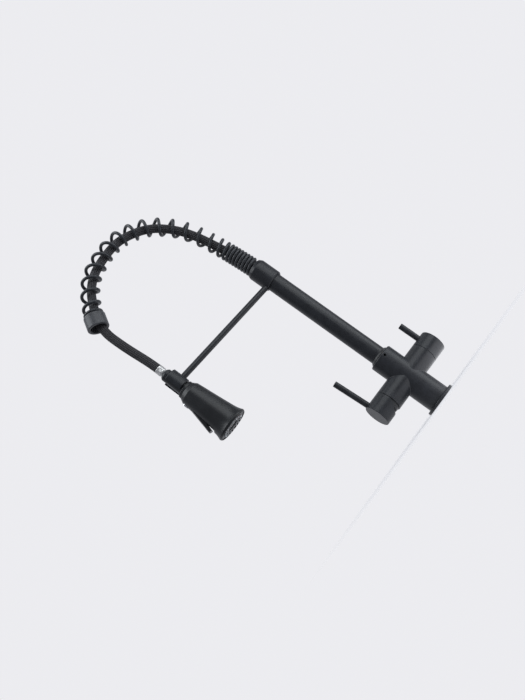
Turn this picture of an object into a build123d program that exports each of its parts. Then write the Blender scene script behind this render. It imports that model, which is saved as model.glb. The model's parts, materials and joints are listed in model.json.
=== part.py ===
"""Pull-down kitchen faucet with a spring arch and two side valves.

Millimetres, +Z up. The origin is the middle of the base flange's underside, on the riser's axis.
The mixer valve lies along -X, the filtered-water valve along +X, and the front is -Y.
"""
from build123d import *
from math import cos, pi, radians, sin, tan
import os

# ---------------------------------------------------------------- driving dimensions
RUN = 0.08                  # radial clearance of a running fit
GAP = 0.3                   # gap between parts that move past each other

FLANGE_R = 26.2
FLANGE_T = 4.5
BODY_R = 21.0
BODY_TOP = 108.0
SPIGOT_R = 17.3             # body spigot that centres the flange
INLET_R = 5.0               # M10 x 1 supply hose threads
INLET_RING = 10.0           # radius of the circle through the three inlets
INLET_DEPTH = 14.0
STUD_R = 3.4                # M8 stud threads, tapping radius
STUD_X = 6.5
STUD_PITCH = 22.6
STUD_DEPTH = 16.0

VALVE_Z = 60.5
ARM_R = 19.75               # outer radius of both side valves
MIXER_FACE = -46.5          # end of the body's mixer arm
MIXER_END = -75.5           # end of the mixer cap
FILTER_FACE = 43.6
FILTER_END = 68.5
CAP_WALL = 1.25
TILT_X = -48.0              # tilt axis of the mixer handle
CAP_CUT = 29.0              # slope of the cap's lower rim, degrees
LEVER_R = 4.5
MIXER_LEVER_X = -70.2
MIXER_LEVER_TOP = 136.9
MIXER_LEVER_LEAN = 3.3      # degrees outward
FILTER_LEVER_X = 57.8
FILTER_LEVER_TOP = 112.3

RISER_R = 14.0
RISER_BORE = 12.5
RISER_TOP = 333.0
SOCKET_FLOOR = 84.0
SCREW_Z = 102.8             # grub screw that keeps the swivel in its socket
COLLAR_R = 17.0
COLLAR_BOTTOM = 301.8
COLLAR_TOP = 339.8

SPOUT_ANGLE = 12.0          # spout plane, degrees from -X towards the front
ARM_Z = 305.5
ROD_R = 4.6
HEAD_S = 224.2              # reach of the spray head's axis
SPRING_R = 14.7
SPRING_WALL = 1.0
HOSE_R = 6.7
RING_R = 16.0
RING_BORE = 11.6
RING_LENGTH = 21.0
SCREW_R = 2.0               # M4 set screws

CLIP_R = 13.55
CLIP_BORE = 10.5
CLIP_BOTTOM = 294.8
CLIP_TOP = 320.4
CLIP_MOUTH = 100.0          # open angle, away from the arm; the hose slips in through it
HEAD_TURN = 21.0            # trigger plane, degrees from the spout plane towards the back

NECK_TOP = 322.0
SHELL_TOP = 288.4
LIP_Z = 206.6               # lowest edge of the bell
FACE_Z = 207.6
TRIGGER_PIN = (15.2, 259.5)
SPOOL_Z = 240.0
BUTTON_Z = 276.3
BUTTON_R = 5.1

# corner points (reach, height) of the two routes; arcs round each corner
SPRING_ROUTE = [(0.6, 341.2), (3.9, 400), (14, 455), (34.3, 490.2), (57, 510.6), (92, 523.3), (120, 523.3),
                (161.2, 513.6), (187.4, 498.9), (213.5, 471.3), (218.9, 462.1)]
HOSE_ROUTE = [(0.6, 357.5), (5.5, 398), (16.6, 453.7), (36.4, 488.4), (58.4, 508.1), (92.5, 520.6),
              (119.7, 520.6), (160.6, 511.9), (186, 497.6), (205.5, 477.5), (229.2, 440), (228.6, 396),
              (224.2, 354), (224.2, 340.2)]

# ---------------------------------------------------------------- planes and axes
SPOUT_DIR = (-cos(radians(SPOUT_ANGLE)), -sin(radians(SPOUT_ANGLE)), 0)
SIDE_DIR = (-sin(radians(SPOUT_ANGLE)), cos(radians(SPOUT_ANGLE)), 0)
TRIGGER_DIR = (-cos(radians(SPOUT_ANGLE - HEAD_TURN)), -sin(radians(SPOUT_ANGLE - HEAD_TURN)), 0)
HINGE_DIR = (-sin(radians(SPOUT_ANGLE - HEAD_TURN)), cos(radians(SPOUT_ANGLE - HEAD_TURN)), 0)
HEAD_XY = (HEAD_S * SPOUT_DIR[0], HEAD_S * SPOUT_DIR[1], 0)
SPOUT = Plane(origin=(0, 0, 0), x_dir=SPOUT_DIR, z_dir=SIDE_DIR)     # local x = reach, local y = height
HEAD = Plane(origin=HEAD_XY, x_dir=TRIGGER_DIR, z_dir=HINGE_DIR)     # local x = radius, local y = height
HEAD_AXIS = Axis(HEAD_XY, (0, 0, 1))
VALVE_AXIS = Axis((0, 0, VALVE_Z), (1, 0, 0))


def across(x):
    """Plane square to the valve axis at x."""
    return Plane(origin=(x, 0, VALVE_Z), x_dir=(0, 1, 0), z_dir=(1, 0, 0))


def facing_out(reach, height, plane=SPOUT):
    """Plane facing outward along a section plane's x, at a reach and a height."""
    start = plane.from_local_coords(Vector(reach, height, 0))
    return Plane(origin=start, x_dir=plane.z_dir, z_dir=plane.x_dir)


def under_head(height):
    """Level plane on the head's axis, with x towards the trigger."""
    return Plane(origin=(HEAD_XY[0], HEAD_XY[1], height), x_dir=TRIGGER_DIR)


def turned(section, axis, points):
    """A turned piece from a closed outline in a section plane."""
    with BuildPart() as piece:
        with BuildSketch(section):
            Polygon(*points, align=None)
        revolve(axis=axis)
    return piece


def valve_turned(points):
    """A turned piece on the valve axis; points are (x, radius)."""
    return turned(Plane.XZ, VALVE_AXIS, [(x, VALVE_Z + r) for x, r in points])


def disc_outline(a, b, outer, inner):
    """Outline of a plain ring from a to b along its axis, as (along, radius)."""
    return [(a, inner), (b, inner), (b, outer), (a, outer)]


def upright(points):
    """Swap (along, radius) into (radius, height)."""
    return [(r, a) for a, r in points]


def save(piece, name):
    """Label a finished piece and write its file."""
    piece.part.label = name
    export_step(piece.part, f"parts/{name}.step")


def route_radii(points):
    """Radius at each inner corner of a route: 0.45 of the shorter run over tan of half the turn."""
    radii = []
    for a, b, c in zip(points, points[1:], points[2:]):
        first = Vector(b[0] - a[0], b[1] - a[1])
        second = Vector(c[0] - b[0], c[1] - b[1])
        turn = first.get_angle(second)
        radii.append(0.45 * min(first.length, second.length) / tan(radians(turn / 2)))
    return radii


def route_tube(points, outer, inner=0.0):
    """A tube along a route in the spout plane."""
    with BuildPart() as piece:
        with BuildLine(SPOUT) as line:
            FilletPolyline(*points, radius=route_radii(points))
        with BuildSketch(Plane(origin=line.wires()[0] @ 0, z_dir=line.wires()[0] % 0)):
            Circle(outer)
            if inner:
                Circle(inner, mode=Mode.SUBTRACT)
        sweep(path=line.wires()[0])
    return piece, line.wires()[0].length


os.makedirs("parts", exist_ok=True)

# ---------------------------------------------------------------- valve body and base
MIXER_BORE = 17.6
MIXER_FLOOR = -22.0
FILTER_BORE = 12.6
FILTER_FLOOR = 20.0
WATERWAY_R = 3.2
CROSS_R = 2.8               # passages from the waterways into the chambers
SOCKET_R = 13.0 + RUN
FILTER_PORT_RISE = 7.5

with BuildPart() as body:
    with BuildSketch(Plane.XZ):
        Polygon((0, 0), (SPIGOT_R, 0), (SPIGOT_R, FLANGE_T), (BODY_R, FLANGE_T), (BODY_R, BODY_TOP),
                (0, BODY_TOP), align=None)
    revolve(axis=Axis.Z)
    fillet(body.edges().filter_by(GeomType.CIRCLE).sort_by(Axis.Z)[-1], radius=2.2)
    with BuildSketch(across(MIXER_FACE)):
        Circle(ARM_R)
    extrude(amount=FILTER_FACE - MIXER_FACE)
    arm_joints = body.edges().filter_by(lambda edge: edge.geom_type not in (GeomType.CIRCLE, GeomType.LINE))
    fillet(arm_joints, radius=0.8)
    # cartridge chambers
    with BuildSketch(across(MIXER_FACE)):
        Circle(MIXER_BORE)
    extrude(amount=MIXER_FLOOR - MIXER_FACE, mode=Mode.SUBTRACT)
    with BuildSketch(across(FILTER_FLOOR)):
        Circle(FILTER_BORE)
    extrude(amount=FILTER_FACE - FILTER_FLOOR, mode=Mode.SUBTRACT)
    # swivel socket
    with BuildSketch(Plane.XY.offset(SOCKET_FLOOR)):
        Circle(SOCKET_R)
    extrude(amount=BODY_TOP - SOCKET_FLOOR, mode=Mode.SUBTRACT)
    # hot, cold and filtered inlets: threaded mouths, then passages up to the valves
    with BuildSketch(Plane.XY):
        with PolarLocations(INLET_RING, 3):
            Circle(INLET_R)
    extrude(amount=INLET_DEPTH, mode=Mode.SUBTRACT)
    with BuildSketch(Plane.XY):
        with PolarLocations(INLET_RING, 2, start_angle=120, angular_range=240):
            Circle(WATERWAY_R)
    extrude(amount=VALVE_Z, mode=Mode.SUBTRACT)
    with BuildSketch(Plane.XY):
        with Locations((INLET_RING, 0)):
            Circle(WATERWAY_R)
    extrude(amount=VALVE_Z - FILTER_PORT_RISE, mode=Mode.SUBTRACT)
    # outlets of both valves, up into the swivel socket
    with BuildSketch(Plane.XY.offset(VALVE_Z)):
        Circle(WATERWAY_R)
    extrude(amount=SOCKET_FLOOR - VALVE_Z, mode=Mode.SUBTRACT)
    with BuildSketch(Plane.XY.offset(VALVE_Z + FILTER_PORT_RISE)):
        with Locations((INLET_RING - 0.5, 0)):
            Circle(WATERWAY_R)
    extrude(amount=SOCKET_FLOOR - VALVE_Z - FILTER_PORT_RISE, mode=Mode.SUBTRACT)
    # cross passages into the two chambers
    with BuildSketch(across(MIXER_FLOOR)):
        with GridLocations(INLET_RING * sin(radians(60)), 0, 3, 1):
            Circle(CROSS_R)
    extrude(amount=-MIXER_FLOOR, mode=Mode.SUBTRACT)
    with BuildSketch(across(INLET_RING - 1.0)):
        with GridLocations(0, 2 * FILTER_PORT_RISE, 1, 2):
            Circle(CROSS_R)
    extrude(amount=FILTER_FLOOR - INLET_RING + 1.0, mode=Mode.SUBTRACT)
    # mounting studs and the grub screw hole at the front
    with BuildSketch(Plane.XY):
        with Locations((STUD_X, 0)):
            with GridLocations(0, STUD_PITCH, 1, 2):
                Circle(STUD_R)
    extrude(amount=STUD_DEPTH, mode=Mode.SUBTRACT)
    with BuildSketch(Plane(origin=(0, -SOCKET_R + 1, SCREW_Z), x_dir=(1, 0, 0), z_dir=(0, -1, 0))):
        Circle(SCREW_R)
    extrude(amount=BODY_R, mode=Mode.SUBTRACT)
save(body, "valve_body")

with BuildPart() as flange:
    with BuildSketch(Plane.XZ):
        with BuildLine():
            Polyline((SPIGOT_R + 0.2, FLANGE_T - 0.05), (SPIGOT_R + 0.2, 0), (20.0, 0), (20.0, 1.6),
                     (24.0, 1.6), (24.0, 0), (FLANGE_R - 0.6, 0))
            Line((FLANGE_R - 0.6, 0), (FLANGE_R, 0.6))
            Line((FLANGE_R, 0.6), (FLANGE_R, FLANGE_T - 1.6))
            RadiusArc((FLANGE_R, FLANGE_T - 1.6), (FLANGE_R - 1.55, FLANGE_T - 0.05), -1.55)
            Line((FLANGE_R - 1.55, FLANGE_T - 0.05), (SPIGOT_R + 0.2, FLANGE_T - 0.05))
        make_face()
    revolve(axis=Axis.Z)
save(flange, "base_flange")

gasket = turned(Plane.XZ, Axis.Z, upright(disc_outline(0, 1.5, 23.9, 20.1)))
save(gasket, "base_gasket")

# ---------------------------------------------------------------- mixer valve, fixed pieces
CARTRIDGE_NECK = 13.2
mixer_cartridge = valve_turned([(-22.2, 0), (-22.2, 17.4), (-39.0, 17.4), (-39.0, CARTRIDGE_NECK + 0.8),
                                (-44.0, CARTRIDGE_NECK + 0.8), (-44.0, 12.6), (-35.0, 12.6), (-35.0, 0)])
save(mixer_cartridge, "mixer_cartridge")

mixer_nut = valve_turned(disc_outline(-46.3, -39.1, 17.4, CARTRIDGE_NECK + 1.0))
save(mixer_nut, "mixer_cartridge_nut")

DOME_R = 18.2
with BuildPart() as trim_ring:
    with BuildSketch(Plane.XZ):
        with BuildLine():
            dome_low = VALVE_Z + (DOME_R ** 2 - (-46.6 - TILT_X) ** 2) ** 0.5
            dome_top = VALVE_Z + (DOME_R ** 2 - (-53.0 - TILT_X) ** 2) ** 0.5
            ThreePointArc((-46.6, dome_low), (TILT_X, VALVE_Z + DOME_R), (-53.0, dome_top))
            Polyline((-53.0, dome_top), (-53.0, VALVE_Z + 13.4), (-46.6, VALVE_Z + 13.4), (-46.6, dome_low))
        make_face()
    revolve(axis=VALVE_AXIS)
save(trim_ring, "mixer_trim_ring")

# ---------------------------------------------------------------- mixer valve, turning and tilting pieces
LEVER_SEAT = 16.2           # a lever's lower end, above the valve axis
lean = radians(MIXER_LEVER_LEAN)
mixer_lever_plane = Plane(origin=(MIXER_LEVER_X + 0.25, 0, VALVE_Z + LEVER_SEAT), x_dir=(0, 1, 0),
                          z_dir=(-sin(lean), 0, cos(lean)))
filter_lever_plane = Plane(origin=(FILTER_LEVER_X, 0, VALVE_Z + LEVER_SEAT))


def behind(x):
    """Plane on the valve axis at x, facing +Y."""
    return Plane(origin=(x, 0, VALVE_Z), x_dir=(1, 0, 0), z_dir=(0, 1, 0))


def grub_screw(x, start, end):
    """A socket set screw in the back of a cap, from one depth to another."""
    with BuildPart() as piece:
        with BuildSketch(behind(x).offset(start + 0.05)):
            Circle(SCREW_R - 0.05)
        extrude(amount=end - start - 0.05)
        with BuildSketch(behind(x).offset(end - 2.0)):
            RegularPolygon(1.1, 6)
        extrude(amount=2.0, mode=Mode.SUBTRACT)
    return piece


PIN_R = 2.0
STEM_HALF = 4.0
with BuildPart() as carrier:
    with BuildSketch(across(-50.5)):
        Circle(12.4)
    extrude(amount=-35.3 + 50.5)
    with BuildSketch(Plane(origin=(0, 0, VALVE_Z), x_dir=(1, 0, 0), z_dir=(0, -1, 0))):
        Polygon((-40.5, 9.5), (-51, 9.5), (-51, -9.5), (-40.5, -9.5), align=None)
    extrude(amount=STEM_HALF + GAP, both=True, mode=Mode.SUBTRACT)
    with BuildSketch(Plane(origin=(TILT_X, 0, VALVE_Z), x_dir=(1, 0, 0), z_dir=(0, -1, 0))):
        Circle(PIN_R)
    extrude(amount=13, both=True, mode=Mode.SUBTRACT)
save(carrier, "mixer_carrier")

with BuildPart() as pivot_pin:
    with BuildSketch(Plane(origin=(TILT_X, 0, VALVE_Z), x_dir=(1, 0, 0), z_dir=(0, -1, 0))):
        Circle(PIN_R)
    extrude(amount=11.2, both=True)
save(pivot_pin, "mixer_pivot_pin")

STEM_OUT = -70.0
with BuildPart() as stem:
    with BuildSketch(across(STEM_OUT)):
        Rectangle(2 * STEM_HALF, 2 * STEM_HALF)
    extrude(amount=-44.0 - STEM_OUT)
    with BuildSketch(Plane(origin=(TILT_X, 0, VALVE_Z), x_dir=(1, 0, 0), z_dir=(0, -1, 0))):
        Circle(PIN_R + 0.05)
    extrude(amount=STEM_HALF + 1, both=True, mode=Mode.SUBTRACT)
save(stem, "mixer_stem")

CAP_RIM = MIXER_FACE - 0.8
MIXER_FLOOR_T = 3.2
CAP_SCREW_X = -64.0
with BuildPart() as mixer_cap:
    with BuildSketch(across(MIXER_END)):
        Circle(ARM_R)
    extrude(amount=CAP_RIM - MIXER_END)
    chamfer(mixer_cap.edges().filter_by(GeomType.CIRCLE).sort_by(Axis.X)[0], length=0.5)
    with BuildSketch(across(MIXER_END + MIXER_FLOOR_T)):
        Circle(ARM_R - CAP_WALL)
    extrude(amount=CAP_RIM - MIXER_END, mode=Mode.SUBTRACT)
    with BuildSketch(across(MIXER_END + MIXER_FLOOR_T - 0.1)):
        Circle(8.5)
        Rectangle(2 * STEM_HALF + 0.1, 2 * STEM_HALF + 0.1, mode=Mode.SUBTRACT)
    extrude(amount=13.0)
    # the lower rim slopes away so that the handle can tilt
    rim_drop = 2 * ARM_R * tan(radians(CAP_CUT))
    with BuildSketch(Plane.XZ):
        Polygon((CAP_RIM, VALVE_Z), (CAP_RIM + 1, VALVE_Z), (CAP_RIM + 1, VALVE_Z - 2 * ARM_R),
                (CAP_RIM - rim_drop, VALVE_Z - 2 * ARM_R), align=None)
    extrude(amount=ARM_R + 1, both=True, mode=Mode.SUBTRACT)
    # lever hole above and grub screw hole behind
    with BuildSketch(mixer_lever_plane):
        Circle(LEVER_R)
    extrude(amount=MIXER_LEVER_TOP - VALVE_Z - LEVER_SEAT, mode=Mode.SUBTRACT)
    with BuildSketch(behind(CAP_SCREW_X)):
        Circle(SCREW_R)
    extrude(amount=ARM_R + 1, mode=Mode.SUBTRACT)
save(mixer_cap, "mixer_cap")

with BuildPart() as mixer_lever:
    with BuildSketch(mixer_lever_plane):
        Circle(LEVER_R)
    extrude(amount=MIXER_LEVER_TOP - VALVE_Z - LEVER_SEAT)
    fillet(mixer_lever.edges().filter_by(GeomType.CIRCLE).sort_by(Axis.Z)[-1], radius=0.5)
save(mixer_lever, "mixer_lever")

save(grub_screw(CAP_SCREW_X, STEM_HALF, ARM_R - 0.6), "mixer_cap_screw")

# ---------------------------------------------------------------- filtered-water valve
filter_cartridge = valve_turned([(20.2, 0), (20.2, 10.0), (37.0, 10.0), (37.0, 9.0), (43.0, 9.0),
                                 (43.0, 4.0 + RUN), (30.0, 4.0 + RUN), (30.0, 0)])
save(filter_cartridge, "filter_cartridge")

with BuildPart() as filter_nut:
    with BuildSketch(across(37.2)):
        RegularPolygon(12.4, 6)
        Circle(9.2, mode=Mode.SUBTRACT)
    extrude(amount=6.0)
save(filter_nut, "filter_cartridge_nut")

SPINDLE_OUT = 60.0
with BuildPart() as spindle:
    with BuildSketch(across(30.4)):
        Circle(4.0)
    extrude(amount=SPINDLE_OUT - 30.4)
    with BuildSketch(across(46.0)):
        Rectangle(16, 16)
        Rectangle(5.6, 16, mode=Mode.SUBTRACT)
    extrude(amount=SPINDLE_OUT, mode=Mode.SUBTRACT)
save(spindle, "filter_spindle")

FILTER_RIM = FILTER_FACE + 0.6
FILTER_SCREW_X = 53.0
with BuildPart() as filter_cap:
    with BuildSketch(across(FILTER_RIM)):
        Circle(ARM_R)
    extrude(amount=FILTER_END - FILTER_RIM)
    fillet(filter_cap.edges().filter_by(GeomType.CIRCLE).sort_by(Axis.X)[-1], radius=1.2)
    with BuildSketch(across(FILTER_RIM)):
        Circle(ARM_R - 2.0)
    extrude(amount=FILTER_END - FILTER_RIM - 3.0, mode=Mode.SUBTRACT)
    with BuildSketch(across(46.0)):
        Circle(8.0)
        with BuildSketch(mode=Mode.PRIVATE) as blade:
            Circle(4.05)
            Rectangle(5.7, 16, mode=Mode.INTERSECT)
        add(blade.sketch, mode=Mode.SUBTRACT)
    extrude(amount=FILTER_END - 3.0 - 46.0 + 0.1)
    with BuildSketch(filter_lever_plane):
        Circle(LEVER_R)
    extrude(amount=FILTER_LEVER_TOP - VALVE_Z - LEVER_SEAT, mode=Mode.SUBTRACT)
    with BuildSketch(behind(FILTER_SCREW_X)):
        Circle(SCREW_R)
    extrude(amount=ARM_R + 1, mode=Mode.SUBTRACT)
save(filter_cap, "filter_cap")

with BuildPart() as filter_lever:
    with BuildSketch(filter_lever_plane):
        Circle(LEVER_R)
    extrude(amount=FILTER_LEVER_TOP - VALVE_Z - LEVER_SEAT)
    fillet(filter_lever.edges().filter_by(GeomType.CIRCLE).sort_by(Axis.Z)[-1], radius=0.5)
save(filter_lever, "filter_lever")

save(grub_screw(FILTER_SCREW_X, 2.8, ARM_R - 0.6), "filter_cap_screw")

# ---------------------------------------------------------------- swivel and riser
GROOVE_R = 11.4
with BuildPart() as spigot:
    with BuildSketch(Plane.XZ):
        Polygon((5.0, SOCKET_FLOOR + 0.5), (13.0, SOCKET_FLOOR + 0.5), (13.0, 87.0), (10.6, 87.0),
                (10.6, 89.6), (13.0, 89.6), (13.0, 92.0), (10.6, 92.0), (10.6, 94.6), (13.0, 94.6),
                (13.0, SCREW_Z - 2.4), (GROOVE_R, SCREW_Z - 2.4), (GROOVE_R, SCREW_Z + 2.4),
                (13.0, SCREW_Z + 2.4), (13.0, 108.2), (RISER_BORE, 108.2), (RISER_BORE, 122.0), (5.0, 122.0),
                align=None)
    revolve(axis=Axis.Z)
save(spigot, "swivel_spigot")

with BuildPart() as o_rings:
    with BuildSketch(Plane.XZ):
        with Locations((11.85, 88.3), (11.85, 93.3)):
            Circle(1.2)
    revolve(axis=Axis.Z)
save(o_rings, "swivel_o_rings")

with BuildPart() as swivel_screw:
    with BuildSketch(Plane(origin=(0, -17.4, SCREW_Z), x_dir=(1, 0, 0), z_dir=(0, 1, 0))):
        Circle(1.95)
        RegularPolygon(1.0, 6, mode=Mode.SUBTRACT)
    extrude(amount=1.8)
    with BuildSketch(Plane(origin=(0, -15.6, SCREW_Z), x_dir=(1, 0, 0), z_dir=(0, 1, 0))):
        Circle(1.95)
    extrude(amount=2.1)
    with BuildSketch(Plane(origin=(0, -13.5, SCREW_Z), x_dir=(1, 0, 0), z_dir=(0, 1, 0))):
        Circle(1.5)
    extrude(amount=13.5 - GROOVE_R - GAP)
save(swivel_screw, "swivel_grub_screw")

with BuildPart() as riser:
    with BuildSketch(Plane.XY.offset(108.4)):
        Circle(RISER_R)
        Circle(RISER_BORE, mode=Mode.SUBTRACT)
    extrude(amount=RISER_TOP - 108.4)
save(riser, "riser_tube")

swivel_ring = turned(Plane.XZ, Axis.Z, [(RISER_R + 0.05, BODY_TOP + GAP), (16.9, BODY_TOP + GAP),
                                        (16.9, 109.0), (RISER_R + 0.6, 111.6), (RISER_R + 0.05, 111.6)])
save(swivel_ring, "swivel_ring")

with BuildPart() as filter_tube:
    with BuildSketch(Plane.XY.offset(123.0)):
        with Locations((-5, 0)):
            Circle(4.0)
            Circle(2.8, mode=Mode.SUBTRACT)
    extrude(amount=188.0)
save(filter_tube, "filter_water_tube")

# ---------------------------------------------------------------- collar, spring seat and arm
with BuildPart() as collar:
    with BuildSketch(Plane.XZ):
        Polygon((RISER_R + 0.1, COLLAR_BOTTOM), (COLLAR_R - 1.4, COLLAR_BOTTOM),
                (COLLAR_R, COLLAR_BOTTOM + 1.8), (COLLAR_R, COLLAR_TOP - 5.4), (14.8, COLLAR_TOP - 0.4),
                (14.4, COLLAR_TOP), (10.4, COLLAR_TOP), (10.4, 336.9), (RISER_R + 0.1, 336.9), align=None)
    revolve(axis=Axis.Z)
    circles = collar.edges().filter_by(GeomType.CIRCLE)
    fillet(circles.filter_by_position(Axis.Z, COLLAR_TOP - 6, COLLAR_TOP - 5), radius=3.0)
    with BuildSketch(facing_out(RISER_R, ARM_Z)):
        Circle(ROD_R)
    extrude(amount=COLLAR_R, mode=Mode.SUBTRACT)
    with BuildSketch(Plane(origin=(0, 0, 318), x_dir=(1, 0, 0), z_dir=(0, 1, 0))):
        Circle(2.0)
    extrude(amount=COLLAR_R + 1, mode=Mode.SUBTRACT)
save(collar, "arm_collar")

with BuildPart() as collar_screw:
    with BuildSketch(Plane(origin=(0, RISER_R + 0.1, 318), x_dir=(1, 0, 0), z_dir=(0, 1, 0))):
        Circle(1.95)
    extrude(amount=2.4)
save(collar_screw, "collar_grub_screw")

spring_plug = turned(Plane.XZ, Axis.Z, [(5.0, 312), (RISER_BORE, 312), (RISER_BORE, RISER_TOP),
                                        (13.9, RISER_TOP), (13.9, 336.8), (9.6, 336.8), (9.6, 350.0),
                                        (5.0, 350.0)])
save(spring_plug, "spring_plug")

with BuildPart() as hose_fitting:
    with BuildSketch(Plane.XY.offset(350.2)):
        RegularPolygon(9.4, 6)
    extrude(amount=6.4)
save(hose_fitting, "hose_base_fitting")

spring, spring_length = route_tube(SPRING_ROUTE, SPRING_R, SPRING_R - SPRING_WALL)
save(spring, "spring")

hose, hose_length = route_tube(HOSE_ROUTE, HOSE_R)
save(hose, "hose")

ring_top = Vector(*SPRING_ROUTE[-1])
ring_run = (ring_top - Vector(*SPRING_ROUTE[-2])).normalized()
ring_start = SPOUT.from_local_coords(ring_top + ring_run * GAP)
ring_dir = SPOUT.from_local_coords(ring_run) - SPOUT.origin
with BuildPart() as end_ring:
    with BuildSketch(Plane(origin=ring_start, z_dir=ring_dir)):
        Circle(RING_R)
        Circle(RING_BORE, mode=Mode.SUBTRACT)
    extrude(amount=RING_LENGTH)
    fillet(end_ring.edges().filter_by(GeomType.CIRCLE), radius=1.3)
save(end_ring, "spring_end_ring")

with BuildPart() as arm:
    with BuildSketch(facing_out(RISER_R + 0.4, ARM_Z)):
        Circle(ROD_R - 0.02)
    extrude(amount=HEAD_S - CLIP_R + 1.2 - RISER_R - 0.4)
save(arm, "holder_arm")

with BuildPart() as clip:
    with BuildSketch(Plane(origin=(HEAD_XY[0], HEAD_XY[1], CLIP_BOTTOM), x_dir=SPOUT_DIR)):
        Circle(CLIP_R)
        Circle(CLIP_BORE, mode=Mode.SUBTRACT)
        with BuildLine():
            half = radians(CLIP_MOUTH / 2)
            rays = [(2 * CLIP_R * cos(angle), 2 * CLIP_R * sin(angle)) for angle in (-half, 0, half)]
            Polyline((0, 0), *rays, close=True)
        make_face(mode=Mode.SUBTRACT)
    extrude(amount=CLIP_TOP - CLIP_BOTTOM)
    rims = clip.edges().filter_by(GeomType.CIRCLE).filter_by(lambda edge: edge.radius > CLIP_BORE + 1)
    chamfer(rims, length=0.6)
    with BuildSketch(facing_out(HEAD_S - CLIP_R - 1, ARM_Z)):
        Circle(ROD_R)
    extrude(amount=1 + 1.3, mode=Mode.SUBTRACT)
save(clip, "holder_clip")

# ---------------------------------------------------------------- end of the hose
hose_ferrule = turned(HEAD, HEAD_AXIS, [(0, 328.0), (5.3, 328.0), (5.5, 331.0), (6.9, 336.0),
                                        (6.9, 339.9), (0, 339.9)])
save(hose_ferrule, "hose_ferrule")

NUT_BOTTOM = NECK_TOP + GAP
NUT_STEM = 5.5
hose_nut = turned(HEAD, HEAD_AXIS, [(0, 306.0), (NUT_STEM, 306.0), (NUT_STEM, NUT_BOTTOM),
                                    (9.3, NUT_BOTTOM), (9.3, 325.6), (7.6, 327.9), (0, 327.9)])
save(hose_nut, "hose_nut")

# ---------------------------------------------------------------- spray head
with BuildPart() as neck:
    with BuildSketch(HEAD):
        Polygon((NUT_STEM + RUN, 284.0), (8.6, 284.0), (8.6, 293.2), (10.0, 293.2), (9.3, NECK_TOP),
                (NUT_STEM + RUN, NECK_TOP), align=None)
    revolve(axis=HEAD_AXIS)
save(neck, "head_neck")

check_valve = turned(HEAD, HEAD_AXIS, [(1.5, 295.0), (5.3, 295.0), (5.3, 303.0), (1.5, 303.0)])
save(check_valve, "check_valve")

head_collar = turned(HEAD, HEAD_AXIS, [(8.7, 280.0), (12.3, 280.0), (12.3, SHELL_TOP + GAP),
                                       (13.7, SHELL_TOP + GAP), (13.4, 291.6), (12.8, 292.3),
                                       (12.0, 292.3), (12.0, 290.2), (8.7, 290.2)])
save(head_collar, "head_collar")

SHELL_OUTER = [(17.25, 282.2), (19.0, 264), (21.1, 241), (22.6, 226.5), (24.6, 214.6), (26.35, 210.0)]
SHELL_INNER = [(14.8, 278.5), (16.6, 264), (19.2, 241), (20.9, 226.5), (22.4, 216.5), (24.3, 210.6)]
POCKET_HALF = 9.0
LINING_HALF = 11.0
FLOOR_X = 12.6
LINING_X = 9.4
POCKET_TOP = 265.4

with BuildPart() as shell:
    with BuildSketch(HEAD):
        with BuildLine():
            Line((12.5, SHELL_TOP), (13.8, SHELL_TOP))
            Line((13.8, SHELL_TOP), SHELL_OUTER[0])
            Spline(*SHELL_OUTER)
            Polyline(SHELL_OUTER[-1], (26.2, 208.8), (25.5, 207.4), (24.9, 206.8), (24.3, LIP_Z),
                     SHELL_INNER[-1])
            Spline(*reversed(SHELL_INNER))
            Polyline(SHELL_INNER[0], (12.5, 278.5), (12.5, SHELL_TOP))
        make_face()
    revolve(axis=HEAD_AXIS)
    # a block behind the trigger and the button, trimmed to the bell's outside
    with BuildPart(mode=Mode.PRIVATE) as bell:
        with BuildSketch(HEAD):
            with BuildLine():
                Spline(*SHELL_OUTER)
                Polyline(SHELL_OUTER[-1], (0, SHELL_OUTER[-1][1]), (0, SHELL_OUTER[0][1]), SHELL_OUTER[0])
            make_face()
        revolve(axis=HEAD_AXIS)
        with BuildSketch(HEAD):
            Polygon((LINING_X, 220.0), (30, 220.0), (30, 278.6), (LINING_X, 278.6), align=None)
        extrude(amount=LINING_HALF, both=True, mode=Mode.INTERSECT)
    add(bell.part)
    with BuildSketch(HEAD):
        Polygon((FLOOR_X, 224.4), (24.6, 221.4), (35, 221.4), (35, POCKET_TOP), (FLOOR_X, POCKET_TOP),
                align=None)
    extrude(amount=POCKET_HALF, both=True, mode=Mode.SUBTRACT)
    # button recess and stem hole, spool hole, pin holes
    with BuildSketch(facing_out(14.9, BUTTON_Z, HEAD)):
        Circle(BUTTON_R + 0.5)
    extrude(amount=10, mode=Mode.SUBTRACT)
    with BuildSketch(facing_out(0, BUTTON_Z, HEAD)):
        Circle(2.0 + GAP / 2)
    extrude(amount=20, mode=Mode.SUBTRACT)
    with BuildSketch(facing_out(0, SPOOL_Z, HEAD)):
        Circle(3.0 + GAP)
    extrude(amount=20, mode=Mode.SUBTRACT)
    with BuildSketch(HEAD):
        with Locations(TRIGGER_PIN):
            Circle(1.2)
    extrude(amount=10.4, both=True, mode=Mode.SUBTRACT)
save(shell, "head_shell")

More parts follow.
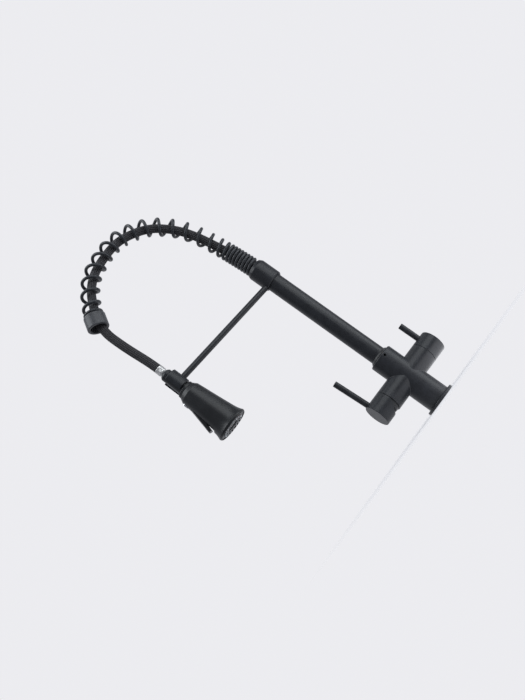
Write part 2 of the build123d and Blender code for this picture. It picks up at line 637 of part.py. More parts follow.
# ---------------------------------------------------------------- inside the spray head
NOZZLE_RING = 17.5
NOZZLE_COUNT = 18
NOZZLE_R = 1.5
STREAM_RINGS = [(3.4, 6), (6.8, 12)]    # rings of plain holes for the straight stream
STREAM_HOLE_R = 0.9
STREAM_DISH_R = 9.4
NOZZLE_TIP = 205.9
MAT_Z = 210.6               # underside of the mat, on the face plate
JET_R = 0.45
with BuildPart() as waterway:
    with BuildSketch(HEAD):
        Polygon((4.5, 216.6), (20.0, 213.0), (21.4, 213.0), (21.4, 215.4), (8.4, 219.6), (8.4, 283.8),
                (4.5, 283.8), align=None)
    revolve(axis=HEAD_AXIS)
    with BuildSketch(facing_out(-9, SPOOL_Z, HEAD)):
        Circle(6.0)
    extrude(amount=18)
    with BuildSketch(facing_out(-6.6, SPOOL_Z, HEAD)):
        Circle(3.0 + RUN)
    extrude(amount=30, mode=Mode.SUBTRACT)
save(waterway, "head_waterway")

with BuildPart() as nozzle_mat:
    with BuildSketch(under_head(MAT_Z)):
        Circle(21.4)
    extrude(amount=2.0)
    with BuildSketch(under_head(NOZZLE_TIP)):
        with PolarLocations(NOZZLE_RING, NOZZLE_COUNT):
            Circle(NOZZLE_R - 0.05)
    extrude(amount=MAT_Z + 0.5 - NOZZLE_TIP)
    tips = nozzle_mat.edges().filter_by(GeomType.CIRCLE).filter_by_position(Axis.Z, NOZZLE_TIP, NOZZLE_TIP)
    chamfer(tips, length=0.35)
    for ring_r, count in [(NOZZLE_RING, NOZZLE_COUNT)] + STREAM_RINGS:
        with BuildSketch(under_head(NOZZLE_TIP)):
            with PolarLocations(ring_r, count):
                Circle(JET_R)
        extrude(amount=MAT_Z + 2.0 - NOZZLE_TIP, mode=Mode.SUBTRACT)
save(nozzle_mat, "nozzle_mat")

with BuildPart() as face_plate:
    with BuildSketch(under_head(FACE_Z)):
        Circle(24.1)
        with PolarLocations(NOZZLE_RING, NOZZLE_COUNT):
            Circle(NOZZLE_R, mode=Mode.SUBTRACT)
        for ring_r, count in STREAM_RINGS:
            with PolarLocations(ring_r, count):
                Circle(STREAM_HOLE_R, mode=Mode.SUBTRACT)
    extrude(amount=2.8)
    with BuildSketch(under_head(FACE_Z)):
        Circle(STREAM_DISH_R)
    extrude(amount=0.9, mode=Mode.SUBTRACT)
save(face_plate, "face_plate")

with BuildPart() as spool:
    with BuildSketch(facing_out(-3.2, SPOOL_Z, HEAD)):
        Circle(3.0)
    extrude(amount=21.2)
save(spool, "diverter_spool")

# ---------------------------------------------------------------- trigger and button
with BuildPart() as trigger_pin:
    with BuildSketch(HEAD):
        with Locations(TRIGGER_PIN):
            Circle(1.18)
    extrude(amount=10.3, both=True)
save(trigger_pin, "trigger_pin")

TRIGGER_HALF = 8.6
with BuildPart() as trigger:
    with BuildSketch(HEAD):
        Polygon((13.1, 264.0), (30, 264.0), (30, 227.8), (23.0, 225.6), (18.6, SPOOL_Z), (17.9, 247.0),
                (13.1, 257.0), align=None)
    extrude(amount=TRIGGER_HALF, both=True)
    # the outer face is part of a cone that starts flush with the bell and stands proud below
    with BuildSketch(HEAD):
        Polygon((0, 225), (28.3, 225), (19.15, 264), (19.15, 265), (0, 265), align=None)
    revolve(axis=HEAD_AXIS, mode=Mode.INTERSECT)
    side_axis = Axis(HEAD_XY, HINGE_DIR)
    fillet(trigger.faces().sort_by(side_axis)[0].edges(), radius=0.8)
    fillet(trigger.faces().sort_by(side_axis)[-1].edges(), radius=0.8)
    with BuildSketch(HEAD):
        with Locations(TRIGGER_PIN):
            Circle(1.2 + 0.04)
    extrude(amount=TRIGGER_HALF, both=True, mode=Mode.SUBTRACT)
save(trigger, "trigger")

with BuildPart() as button:
    with BuildSketch(facing_out(16.2, BUTTON_Z, HEAD)):
        Circle(BUTTON_R)
    extrude(amount=3.0)
    fillet(button.faces().sort_by(Axis(HEAD_XY, TRIGGER_DIR))[-1].edges(), radius=0.7)
    with BuildSketch(facing_out(11.5, BUTTON_Z, HEAD)):
        Circle(2.0)
    extrude(amount=5.2)
save(button, "stop_button")

print("spring route radii", [round(r, 1) for r in route_radii(SPRING_ROUTE)],
      "length", round(spring_length, 1))
print("hose route radii", [round(r, 1) for r in route_radii(HOSE_ROUTE)], "length", round(hose_length, 1),
      "section x length", round(hose_length * pi * HOSE_R ** 2), "volume", round(hose.part.volume))
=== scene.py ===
"""The looks of a pull-down kitchen faucet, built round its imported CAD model.

Metres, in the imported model's frame: the origin is under the base flange, +Z is up, the riser stands on
the origin, the spray head hangs towards -X and the front is -Y.
"""
import json
from math import cos, pi, radians, sin

import bmesh
import bpy
from mathutils import Matrix, Vector


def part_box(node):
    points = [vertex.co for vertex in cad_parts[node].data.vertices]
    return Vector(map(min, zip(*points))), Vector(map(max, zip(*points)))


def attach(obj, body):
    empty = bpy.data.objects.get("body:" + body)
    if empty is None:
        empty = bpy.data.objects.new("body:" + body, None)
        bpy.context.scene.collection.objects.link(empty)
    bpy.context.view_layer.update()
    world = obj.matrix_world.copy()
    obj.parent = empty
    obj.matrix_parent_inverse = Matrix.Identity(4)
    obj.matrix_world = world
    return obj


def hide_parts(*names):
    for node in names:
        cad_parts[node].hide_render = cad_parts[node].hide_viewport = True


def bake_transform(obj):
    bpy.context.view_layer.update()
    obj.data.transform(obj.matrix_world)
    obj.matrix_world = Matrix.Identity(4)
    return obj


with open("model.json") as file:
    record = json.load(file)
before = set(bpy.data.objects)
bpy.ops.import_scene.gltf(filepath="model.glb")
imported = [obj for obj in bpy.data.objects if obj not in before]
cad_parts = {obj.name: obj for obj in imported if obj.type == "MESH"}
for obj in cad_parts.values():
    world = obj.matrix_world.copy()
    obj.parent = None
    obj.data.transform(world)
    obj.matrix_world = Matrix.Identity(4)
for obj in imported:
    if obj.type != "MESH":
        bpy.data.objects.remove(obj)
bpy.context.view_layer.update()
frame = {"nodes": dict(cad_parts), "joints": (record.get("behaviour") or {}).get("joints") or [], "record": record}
nodes = frame["nodes"]
joints = {joint["name"]: joint for joint in frame["joints"]}

MM = 0.001
UP = Vector((0, 0, 1))
HEAD_AXIS = Vector(joints["head_turn"]["pos_m"]) * Vector((1, 1, 0))
SPOUT_DIR = HEAD_AXIS.normalized()
SIDE_DIR = SPOUT_DIR.cross(UP)

# the same route points as the CAD solids, as (reach, height)
SPRING_ROUTE = [(0.0006, 0.3412), (0.0039, 0.400), (0.014, 0.455), (0.0343, 0.4902), (0.057, 0.5106),
                (0.092, 0.5233), (0.120, 0.5233), (0.1612, 0.5136), (0.1874, 0.4989), (0.2135, 0.4713),
                (0.2189, 0.4621)]
HOSE_ROUTE = [(0.0006, 0.3575), (0.0055, 0.398), (0.0166, 0.4537), (0.0364, 0.4884), (0.0584, 0.5081),
              (0.0925, 0.5206), (0.1197, 0.5206), (0.1606, 0.5119), (0.186, 0.4976), (0.2055, 0.4775),
              (0.2292, 0.440), (0.2286, 0.396), (0.2242, 0.354), (0.2242, 0.3402)]

CAMERA_PLACE = (-0.4241, -1.2175, 0.015)
CAMERA_AZIMUTH = radians(15.09)
CAMERA_ELEVATION = radians(10.58)
CAMERA_ROLL = radians(-53.9)
LENS = 60.2                  # mm, on a sensor 36 mm wide

SPRING_R = 14.7 * MM
WIRE_R = 2.45 * MM
COIL_R = SPRING_R - WIRE_R   # to the middle of the wire
HOSE_R = 6.7 * MM


# ---------------------------------------------------------------- camera
def add_camera():
    """The photograph's viewpoint: low in front of the faucet, and turned on its side."""
    level = cos(CAMERA_ELEVATION)
    look = Vector((sin(CAMERA_AZIMUTH) * level, cos(CAMERA_AZIMUTH) * level, sin(CAMERA_ELEVATION)))
    turn = look.to_track_quat("-Z", "Y").to_matrix() @ Matrix.Rotation(CAMERA_ROLL, 3, "Z")
    lens = bpy.data.cameras.new("camera")
    lens.sensor_fit = "HORIZONTAL"
    lens.sensor_width = 36
    lens.lens = LENS
    lens.clip_start = 0.01
    camera = bpy.data.objects.new("camera", lens)
    camera.matrix_world = Matrix.Translation(CAMERA_PLACE) @ turn.to_4x4()
    bpy.context.scene.collection.objects.link(camera)
    bpy.context.scene.camera = camera


# ---------------------------------------------------------------- lines
def at_spout(reach, height):
    """A point in the spout's upright plane."""
    return SPOUT_DIR * reach + UP * height


def smooth(low, high, value):
    """0 below low, 1 above high and an even rise between them."""
    t = min(max((value - low) / (high - low), 0), 1)
    return t * t * (3 - 2 * t)


def route_line(name, route, step):
    """Points a step apart, read from the NURBS line whose control points are a route's."""
    curve = bpy.data.curves.new(name, "CURVE")
    curve.dimensions = "3D"
    curve.resolution_u = 24
    spline = curve.splines.new("NURBS")
    spline.points.add(len(route) - 1)
    for point, (reach, height) in zip(spline.points, route):
        point.co = (*at_spout(reach, height), 1)
    spline.order_u = 3
    spline.use_endpoint_u = True
    holder = bpy.data.objects.new(name, curve)
    mesh = bpy.data.meshes.new_from_object(holder)
    line = [vertex.co.copy() for vertex in mesh.vertices]
    bpy.data.objects.remove(holder)
    bpy.data.curves.remove(curve)
    bpy.data.meshes.remove(mesh)
    return spaced(line, step)


def spaced(line, step):
    """The same line with its points evenly spaced, about a step apart."""
    lengths = [(b - a).length for a, b in zip(line, line[1:])]
    count = round(sum(lengths) / step)
    gap = sum(lengths) / count
    points, walked, run = [line[0]], 0, 0
    for i in range(1, count):
        while walked + lengths[run] < i * gap:
            walked += lengths[run]
            run += 1
        points.append(line[run].lerp(line[run + 1], (i * gap - walked) / lengths[run]))
    return points + [line[-1]]


def line_length(line):
    """Length of a line of points."""
    return sum((b - a).length for a, b in zip(line, line[1:]))


def directions(line):
    """Unit direction of a line at each of its points."""
    ahead = line[1:] + [line[-1]]
    behind = [line[0]] + line[:-1]
    return [(b - a).normalized() for a, b in zip(behind, ahead)]


# ---------------------------------------------------------------- meshes
def mesh_object(name, bm):
    """A smooth-shaded object from a finished bmesh."""
    bmesh.ops.recalc_face_normals(bm, faces=bm.faces)
    mesh = bpy.data.meshes.new(name)
    bm.to_mesh(mesh)
    bm.free()
    mesh.shade_smooth()
    made = bpy.data.objects.new(name, mesh)
    bpy.context.scene.collection.objects.link(made)
    return made


def skin(name, rings, along=None):
    """A closed skin over rings of points; along gives each ring's place on the UV map."""
    bm = bmesh.new()
    uv = bm.loops.layers.uv.new("skin")
    rows = [[bm.verts.new(point) for point in ring] for ring in rings]
    count = len(rows[0])
    along = along or [i / (len(rows) - 1) for i in range(len(rows))]
    for j in range(len(rows) - 1):
        for i in range(count):
            n = (i + 1) % count
            face = bm.faces.new((rows[j][i], rows[j][n], rows[j + 1][n], rows[j + 1][i]))
            corners = ((i, j), (i + 1, j), (i + 1, j + 1), (i, j + 1))
            for loop, (a, b) in zip(face.loops, corners):
                loop[uv].uv = (a / count, along[b])
    bm.faces.new(reversed(rows[0]))
    bm.faces.new(rows[-1])
    return mesh_object(name, bm)


# ---------------------------------------------------------------- spring coil
def coil_line(line):
    """The wire's line: close turns on the collar, open ones over the arch, a flat one on the end ring."""
    first, rising = 0.1, 0.7         # the wire starts flat and rises to the close pitch
    tight, loose = 7.6, 12.1         # turns where the close pitch ends and the open pitch begins
    closing, last = 23.7, 25.3       # turns where the pitch closes again
    close_pitch = 5.5 * MM
    flat_turns = 0.45                # wire lying flat at the very end
    start_phase = radians(-32)
    rise_lean = -0.18                # how far the turns lean on the rise
    to_crown, to_fall = 0.26, -0.08  # how the lean changes over the crown and down the fall
    steps = 40                       # points in a turn
    count = round((last + flat_turns - first) * steps)
    turns = [first + i / steps for i in range(count + 1)]
    open_share = [smooth(tight, loose, t) * (1 - smooth(closing, last, t)) for t in turns]
    close_share = [smooth(first, rising, t) * (1 - smooth(tight, loose, t)) for t in turns]
    place = 0.45 * WIRE_R            # metres along the line
    length = line_length(line) - place - WIRE_R
    open_pitch = (length - sum(close_share) * close_pitch / steps) / (sum(open_share) / steps)
    step = line_length(line) / (len(line) - 1)
    along = directions(line)
    wire = []
    for turn, close, opened in zip(turns, close_share, open_share):
        place += (close * close_pitch + opened * open_pitch) / steps
        at = min(place / step, len(line) - 1.001)
        i = int(at)
        centre = line[i].lerp(line[i + 1], at - i)
        outward = -along[i].cross(SIDE_DIR)
        angle = 2 * pi * turn + start_phase
        lean = rise_lean + to_crown * smooth(0.21, 0.28, place) + to_fall * smooth(0.3, 0.34, place)
        # the close turns and the last one stand square to the line
        lean *= smooth(0.06, 0.11, place) * (1 - smooth(0.35, 0.362, place))
        radial = outward * cos(angle) + along[i].cross(outward) * sin(angle)
        wire.append(centre + COIL_R * (radial + along[i] * lean * cos(angle)))
    return wire


def add_coil():
    """The spring: one round wire wound over the arch."""
    wire = coil_line(route_line("spring_line", SPRING_ROUTE, 0.5 * MM))
    sides = 16
    along = directions(wire)
    rings = []
    normal = SIDE_DIR
    for point, way in zip(wire, along):
        normal = (normal - way * normal.dot(way)).normalized()
        other = way.cross(normal)
        rings.append([point + WIRE_R * (normal * cos(2 * pi * i / sides) + other * sin(2 * pi * i / sides))
                      for i in range(sides)])
    coil = skin("spring_coil", rings)
    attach(coil, "spout")
    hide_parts("spring")
    return coil


# ---------------------------------------------------------------- hose
RIBS = 16
RIB_DEPTH = 0.6 * MM


def add_hose():
    """The braided hose: a tube with lengthwise ribs that runs between the arch and the spray head."""
    step = 1.5 * MM
    line = route_line("hose_line", HOSE_ROUTE, step)
    sides = RIBS * 6
    rings = []
    for point, way in zip(line, directions(line)):
        outward = -way.cross(SIDE_DIR)
        ring = []
        for i in range(sides):
            angle = 2 * pi * i / sides
            radius = HOSE_R - RIB_DEPTH * (1 - abs(sin(RIBS * angle / 2)) ** 0.7)
            ring.append(point + radius * (outward * cos(angle) + SIDE_DIR * sin(angle)))
        rings.append(ring)
    hose = skin("spray_hose", rings, along=[i * step for i in range(len(rings))])
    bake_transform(hose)
    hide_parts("hose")
    return hose


def add_ferrule():
    """The crimped sleeve at the hose's end: round at both ends and pressed to a hexagon between them."""
    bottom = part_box("hose_ferrule")[0].z
    # height and radius in mm
    profile = [(0.0, 4.6), (0.0, 5.3), (1.2, 5.5), (2.2, 6.3), (3.4, 6.8), (4.2, 6.9), (5.4, 6.9),
               (6.6, 6.9), (7.8, 6.9), (9.0, 6.9), (10.0, 6.9), (11.0, 6.9), (11.6, 6.8), (11.9, 6.5),
               (11.9, 5.0)]
    corner_rounding = 1.04
    dent = 0.012
    sides = 96
    rings = []
    for height, radius in profile:
        pressed = smooth(2.6, 4.6, height) * (1 - smooth(9.2, 11.0, height))
        ring = []
        for i in range(sides):
            angle = 2 * pi * i / sides
            flat = cos(pi / 6) / cos(angle % (pi / 3) - pi / 6)
            wobble = 1 + dent * sin(5 * angle + height) * pressed
            squeeze = 1 + (min(flat * corner_rounding, 1) - 1) * pressed
            r = radius * MM * squeeze * wobble
            ring.append(HEAD_AXIS + Vector((r * cos(angle), r * sin(angle), bottom + height * MM)))
        rings.append(ring)
    ferrule = skin("crimped_ferrule", rings)
    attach(ferrule, "hose_end")
    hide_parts("hose_ferrule")
    return ferrule


# ---------------------------------------------------------------- node helpers
def put(tree, kind, inputs=None, **settings):
    """Add a shader node; each input is a value or another node's output."""
    made = tree.nodes.new("ShaderNode" + kind)
    for name, value in settings.items():
        setattr(made, name, value)
    for name, value in (inputs or {}).items():
        if isinstance(value, bpy.types.NodeSocket):
            tree.links.new(value, made.inputs[name])
        else:
            made.inputs[name].default_value = value
    return made


def start_material(name):
    """A new material's node tree, its shader and its object coordinates."""
    material = bpy.data.materials.new(name)
    material.use_nodes = True
    tree = material.node_tree
    coordinates = put(tree, "TexCoord").outputs["Object"]
    return material, tree, tree.nodes["Principled BSDF"], coordinates


def noise(tree, vector, size, detail=2.0, roughness=0.5):
    """Noise whose blotches are about size across."""
    return put(tree, "TexNoise", {"Vector": vector, "Scale": 1 / size, "Detail": detail,
                                  "Roughness": roughness}).outputs["Fac"]


def spread(tree, value, low, high, to_low=0.0, to_high=1.0):
    """Map a value from one range to another and clamp it."""
    return put(tree, "MapRange", {"Value": value, "From Min": low, "From Max": high, "To Min": to_low,
                                  "To Max": to_high}).outputs["Result"]


def mix(tree, factor, first, second):
    """Mix two colours, as RGB triples or outputs."""
    made = tree.nodes.new("ShaderNodeMix")
    made.data_type = "RGBA"
    colours = [s for s in made.inputs if s.type == "RGBA"]
    for socket, value in zip([made.inputs[0]] + colours, (factor, first, second)):
        if isinstance(value, bpy.types.NodeSocket):
            tree.links.new(value, socket)
        else:
            socket.default_value = value if isinstance(value, float) else (*value, 1)
    return next(s for s in made.outputs if s.type == "RGBA")


def calc(tree, operation, first, second=0.0):
    """One sum on values or outputs."""
    made = tree.nodes.new("ShaderNodeMath")
    made.operation = operation
    for socket, value in zip(made.inputs, (first, second)):
        if isinstance(value, bpy.types.NodeSocket):
            tree.links.new(value, socket)
        else:
            socket.default_value = value
    return made.outputs[0]


def bump(tree, height, distance, normal=None):
    """A bump of real depth, in metres, over another normal."""
    inputs = {"Height": height, "Distance": distance}
    if normal:
        inputs["Normal"] = normal
    return put(tree, "Bump", inputs).outputs["Normal"]


def edge_share(tree, rounded):
    """1 along sharp edges and 0 elsewhere, from a rounded normal and the true one."""
    true = put(tree, "NewGeometry").outputs["Normal"]
    same = put(tree, "VectorMath", {0: rounded, 1: true}, operation="DOT_PRODUCT").outputs["Value"]
    return spread(tree, same, 0.995, 0.9)


# ---------------------------------------------------------------- materials
def coated(name, tone, gloss, depth=0.008 * MM):
    """Baked-on black coating: orange-peel grain, faint handling marks and slightly paler edges, partly edge wear
    and partly a painted highlight.
    """
    material, tree, shader, where = start_material(name)
    rounded = put(tree, "Bevel", {"Radius": 0.35 * MM}, samples=6).outputs["Normal"]
    peel = noise(tree, where, 0.35 * MM, detail=3.0, roughness=0.6)
    cloud = noise(tree, where, 14 * MM, detail=5.0, roughness=0.62)
    specks = noise(tree, where, 0.12 * MM, detail=1.0)
    tint = mix(tree, spread(tree, cloud, 0.35, 0.68), [0.82 * c for c in tone], [1.22 * c for c in tone])
    tint = mix(tree, spread(tree, specks, 0.66, 0.78, 0.0, 0.35), tint, [2.4 * c for c in tone])
    # paler edges: partly edge wear, partly a painted highlight where the edges catch the light
    tint = mix(tree, calc(tree, "MULTIPLY", edge_share(tree, rounded), 0.6), tint, [2.2 * c for c in tone])
    tree.links.new(tint, shader.inputs["Base Color"])
    marks = spread(tree, cloud, 0.3, 0.7, gloss - 0.04, gloss + 0.06)
    matt = calc(tree, "ADD", marks, spread(tree, peel, 0.3, 0.7, -0.03, 0.03))
    tree.links.new(matt, shader.inputs["Roughness"])
    tree.links.new(bump(tree, peel, depth, rounded), shader.inputs["Normal"])
    shader.inputs["IOR"].default_value = 1.45
    return material


def moulded(name, tone, gloss):
    """Satin moulded plastic with a fine spark texture, soft shrink marks and paler edges, partly wear and partly a
    painted highlight.
    """
    material, tree, shader, where = start_material(name)
    rounded = put(tree, "Bevel", {"Radius": 0.3 * MM}, samples=6).outputs["Normal"]
    spark = noise(tree, where, 0.22 * MM, detail=2.0)
    sink = noise(tree, where, 22 * MM, detail=3.0)
    tint = mix(tree, spread(tree, sink, 0.35, 0.65), [0.85 * c for c in tone], [1.15 * c for c in tone])
    # paler edges: partly wear, partly a painted highlight where the edges catch the light
    tint = mix(tree, calc(tree, "MULTIPLY", edge_share(tree, rounded), 0.4), tint, [1.8 * c for c in tone])
    tree.links.new(tint, shader.inputs["Base Color"])
    tree.links.new(spread(tree, sink, 0.3, 0.7, gloss - 0.03, gloss + 0.05), shader.inputs["Roughness"])
    tree.links.new(bump(tree, spark, 0.008 * MM, rounded), shader.inputs["Normal"])
    return material


def turned_metal(name, tone, gloss):
    """Machined metal with fine turning lines and a little tarnish."""
    material, tree, shader, where = start_material(name)
    shader.inputs["Metallic"].default_value = 1.0
    stretched = put(tree, "Mapping", {"Vector": where, "Scale": (1, 1, 40)}).outputs["Vector"]
    lines = noise(tree, stretched, 8 * MM, detail=6.0, roughness=0.7)
    tarnish = noise(tree, where, 5 * MM, detail=4.0)
    tint = mix(tree, spread(tree, tarnish, 0.4, 0.7), tone, [0.72 * c for c in tone])
    tree.links.new(tint, shader.inputs["Base Color"])
    tree.links.new(spread(tree, lines, 0.3, 0.7, gloss - 0.06, gloss + 0.1), shader.inputs["Roughness"])
    tree.links.new(bump(tree, lines, 0.02 * MM), shader.inputs["Normal"])
    return material


def chromed(name):
    """Bright plating with faint ripples and fine scratches."""
    material, tree, shader, where = start_material(name)
    shader.inputs["Metallic"].default_value = 1.0
    rounded = put(tree, "Bevel", {"Radius": 0.25 * MM}, samples=6).outputs["Normal"]
    ripple = noise(tree, where, 2.5 * MM, detail=2.0)
    scratched = put(tree, "Mapping", {"Vector": where, "Scale": (30, 1, 30)}).outputs["Vector"]
    scratch = noise(tree, scratched, 3 * MM, detail=4.0)
    tint = mix(tree, ripple, (0.78, 0.79, 0.81), (0.9, 0.9, 0.91))
    tree.links.new(tint, shader.inputs["Base Color"])
    tree.links.new(spread(tree, scratch, 0.45, 0.75, 0.07, 0.2), shader.inputs["Roughness"])
    tree.links.new(bump(tree, ripple, 0.01 * MM, rounded), shader.inputs["Normal"])
    return material


def crimped(name):
    """Soft bright aluminium, creased by the crimping jaws, with painted shade darkening the creases."""
    material, tree, shader, where = start_material(name)
    shader.inputs["Metallic"].default_value = 1.0
    creased = put(tree, "TexVoronoi", {"Vector": where, "Scale": 1 / (3.4 * MM), "Randomness": 1.0},
                  feature="DISTANCE_TO_EDGE").outputs["Distance"]
    crease_shade_and_depth = spread(tree, creased, 0.0, 0.12)
    rub = noise(tree, where, 0.8 * MM, detail=4.0)
    tint = mix(tree, spread(tree, rub, 0.35, 0.7), (0.93, 0.93, 0.92), (0.7, 0.7, 0.69))
    # painted shade: the colour is darkened along the creases
    tint = mix(tree, crease_shade_and_depth, (0.5, 0.5, 0.5), tint)
    tree.links.new(tint, shader.inputs["Base Color"])
    tree.links.new(spread(tree, rub, 0.3, 0.7, 0.26, 0.46), shader.inputs["Roughness"])
    creases = bump(tree, crease_shade_and_depth, 0.12 * MM)
    tree.links.new(bump(tree, rub, 0.04 * MM, creases), shader.inputs["Normal"])
    return material


def braided(name):
    """Black nylon braid: each lengthwise rib is a row of slanted stitches, with a painted highlight on the raised
    stitches and painted shade in the hollows and between the ribs.
    """
    material, tree, shader, where = start_material(name)
    skin_map = put(tree, "UVMap", uv_map="skin").outputs["UV"]
    parts = put(tree, "SeparateXYZ", {"Vector": skin_map})
    across = calc(tree, "MULTIPLY", parts.outputs["X"], float(RIBS))
    rib = calc(tree, "FLOOR", across)
    side = calc(tree, "FRACT", across)
    odd = calc(tree, "MODULO", rib, 2.0)
    slant = calc(tree, "MULTIPLY", calc(tree, "SUBTRACT", side, 0.5), calc(tree, "SUBTRACT", odd, 0.5))
    stitch_at = calc(tree, "ADD", calc(tree, "MULTIPLY", parts.outputs["Y"], 1 / (2.6 * MM)),
                     calc(tree, "MULTIPLY", slant, 1.6))
    stitch = calc(tree, "ABSOLUTE", calc(tree, "SINE", calc(tree, "MULTIPLY", stitch_at, pi)))
    crown = calc(tree, "SINE", calc(tree, "MULTIPLY", side, pi))
    fibre = noise(tree, where, 0.25 * MM, detail=3.0)
    patchy = noise(tree, where, 9 * MM, detail=3.0)
    height = calc(tree, "ADD", calc(tree, "MULTIPLY", stitch, crown), calc(tree, "MULTIPLY", fibre, 0.3))
    # painted highlight and shade: raised stitches lighter, the hollows between them darker
    tint = mix(tree, spread(tree, height, 0.1, 1.1), (0.008, 0.008, 0.009), (0.062, 0.059, 0.068))
    tint = mix(tree, spread(tree, patchy, 0.45, 0.7, 0.0, 0.25), tint, (0.055, 0.053, 0.06))
    # painted shade: the grooves between the ribs darkened nearly to black
    tint = mix(tree, spread(tree, crown, 0.25, 0.6), (0.004, 0.004, 0.005), tint)
    tree.links.new(tint, shader.inputs["Base Color"])
    tree.links.new(spread(tree, fibre, 0.3, 0.7, 0.5, 0.72), shader.inputs["Roughness"])
    tree.links.new(bump(tree, height, 0.22 * MM), shader.inputs["Normal"])
    shader.inputs["Sheen Weight"].default_value = 0.08
    shader.inputs["Sheen Roughness"].default_value = 0.5
    return material


def soft_rubber(name, tone, gloss, clear=0.0):
    """Moulded rubber or silicone with a fine matt skin."""
    material, tree, shader, where = start_material(name)
    grain = noise(tree, where, 0.3 * MM, detail=3.0)
    bloom = noise(tree, where, 6 * MM, detail=4.0)
    tint = mix(tree, spread(tree, bloom, 0.35, 0.7), tone, [0.8 * c for c in tone])
    tree.links.new(tint, shader.inputs["Base Color"])
    tree.links.new(spread(tree, grain, 0.3, 0.7, gloss - 0.05, gloss + 0.1), shader.inputs["Roughness"])
    tree.links.new(bump(tree, grain, 0.02 * MM), shader.inputs["Normal"])
    shader.inputs["Subsurface Weight"].default_value = clear
    shader.inputs["Subsurface Radius"].default_value = (0.6 * MM, 0.5 * MM, 0.5 * MM)
    return material


MATERIALS = {
    "black_paint": coated("black_paint", (0.019, 0.021, 0.0255), 0.34),
    # the spring's tone is paler than black_paint: partly its own finish and partly painted brightness standing in
    # for the light its wires catch
    "spring_coating": coated("spring_coating", (0.04, 0.043, 0.049), 0.3, depth=0.005 * MM),
    "ring_coating": coated("ring_coating", (0.075, 0.078, 0.086), 0.36),
    "swivel_ring_metal": coated("swivel_ring_metal", (0.03, 0.031, 0.033), 0.25, depth=0.004 * MM),
    "black_plastic": moulded("black_plastic", (0.014, 0.0155, 0.018), 0.36),
    "chrome_trim": chromed("chrome_trim"),
    "crimp_metal": crimped("crimp_metal"),
    "hose_braid": braided("hose_braid"),
    "nozzle_silicone": soft_rubber("nozzle_silicone", (0.8, 0.81, 0.82), 0.42, clear=0.3),
    "rubber_seal": soft_rubber("rubber_seal", (0.02, 0.02, 0.02), 0.6),
    "brass": turned_metal("brass", (0.78, 0.56, 0.26), 0.32),
    "white_plastic": moulded("white_plastic", (0.72, 0.72, 0.68), 0.45),
    "steel": turned_metal("steel", (0.56, 0.56, 0.57), 0.3),
}


def dress(piece, slot):
    """Give a piece its slot's material."""
    if not piece.material_slots:
        piece.data.materials.append(MATERIALS[slot])
    for holder in piece.material_slots:
        holder.material = MATERIALS[slot]


# ---------------------------------------------------------------- studio
BACKDROP = (0.84, 0.84, 0.87)
ROOM_FRONT = (0.2, 0.205, 0.225)   # what the pieces reflect from the room in front of them
ROOM_BACK = (0.62, 0.63, 0.67)     # and from the white surface behind them
DAYLIGHT = (0.93, 0.97, 1.0)
FLOOR_R = 0.9
FLOOR_Z = -0.2 * MM
FLOOR_FADE = (0.05, 0.36 * FLOOR_R)    # distances from the middle
FLOOR_SEEN = 0.44                      # the floor's own light, as the camera sees it
FLOOR_LIGHT = (0.6, 2.8)               # and as the pieces reflect it, at its left and right


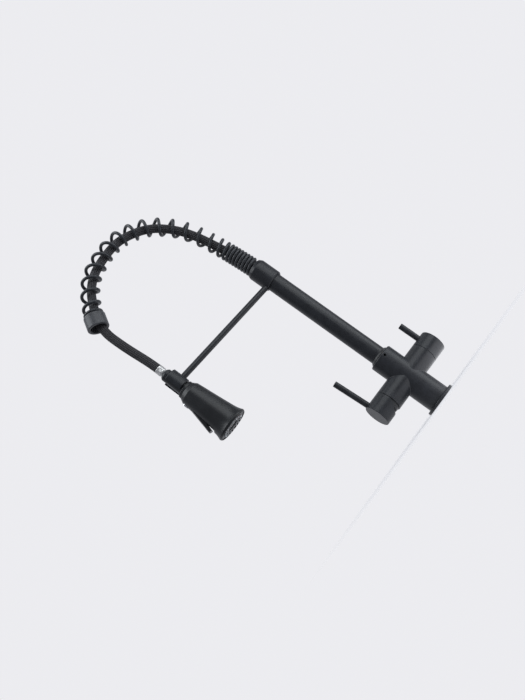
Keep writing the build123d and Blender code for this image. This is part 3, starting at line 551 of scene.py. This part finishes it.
def add_floor():
    """A pale disc that fades into the backdrop and lights the pieces from below."""
    bm = bmesh.new()
    sides = 96
    centre = bm.verts.new((0, 0, FLOOR_Z))
    rim = [bm.verts.new((FLOOR_R * cos(2 * pi * i / sides), FLOOR_R * sin(2 * pi * i / sides), FLOOR_Z))
           for i in range(sides)]
    for i in range(sides):
        bm.faces.new((centre, rim[i], rim[(i + 1) % sides]))
    floor = mesh_object("floor", bm)
    material, tree, shader, where = start_material("floor")
    shader.inputs["Base Color"].default_value = (0.5, 0.5, 0.52, 1)
    shader.inputs["Roughness"].default_value = 0.9
    shader.inputs["Emission Color"].default_value = (*BACKDROP, 1)
    shader.inputs["Specular IOR Level"].default_value = 0
    away = put(tree, "VectorMath", {0: where}, operation="LENGTH").outputs["Value"]
    tree.links.new(spread(tree, away, *FLOOR_FADE, 1.0, 0.0), shader.inputs["Alpha"])
    # the camera does not see this light; the pieces reflect it, more strongly on the right
    right = put(tree, "SeparateXYZ", {"Vector": where}).outputs["X"]
    pool = spread(tree, right, 0.0, 0.1, *FLOOR_LIGHT)
    seen = put(tree, "LightPath").outputs["Is Camera Ray"]
    tree.links.new(spread(tree, seen, 0.0, 1.0, pool, FLOOR_SEEN), shader.inputs["Emission Strength"])
    floor.data.materials.append(material)


def add_area(name, place, target, size, power):
    """A soft square light aimed at a point."""
    light = bpy.data.lights.new(name, "AREA")
    light.size = size
    light.energy = power
    light.color = DAYLIGHT
    lamp = bpy.data.objects.new(name, light)
    lamp.location = place
    lamp.rotation_euler = (Vector(target) - Vector(place)).to_track_quat("-Z", "Y").to_euler()
    bpy.context.scene.collection.objects.link(lamp)


def add_studio():
    """A pale backdrop, a room that is bright behind the faucet, and soft lights."""
    world = bpy.data.worlds.new("studio")
    world.use_nodes = True
    tree = world.node_tree
    way = put(tree, "SeparateXYZ", {"Vector": put(tree, "TexCoord").outputs["Generated"]})
    room = mix(tree, spread(tree, way.outputs["Y"], 0.0, 0.9), ROOM_FRONT, ROOM_BACK)
    shade = mix(tree, put(tree, "LightPath").outputs["Is Camera Ray"], room, BACKDROP)
    tree.links.new(shade, tree.nodes["Background"].inputs["Color"])
    bpy.context.scene.world = world
    bpy.context.scene.view_settings.view_transform = "Standard"
    middle = (-0.1, 0, 0.25)
    add_area("key", (0.6, -1.1, 0.85), middle, 1.1, 6.5)
    add_area("top", (0.2, -0.1, 1.9), middle, 1.0, 3)
    add_area("top_left", (-0.75, -0.35, 1.8), middle, 1.3, 15)
    add_area("side", (1.0, -0.5, 0.2), (0, 0, 0.03), 0.8, 4)


# ---------------------------------------------------------------- the scene
add_camera()
new_pieces = {"spring_coating": add_coil(), "hose_braid": add_hose(), "crimp_metal": add_ferrule()}
for subpart in frame["record"]["subparts"]:
    dress(nodes[subpart["node"]], subpart["material_slot"])
for slot_name, piece in new_pieces.items():
    dress(piece, slot_name)
add_floor()
add_studio()
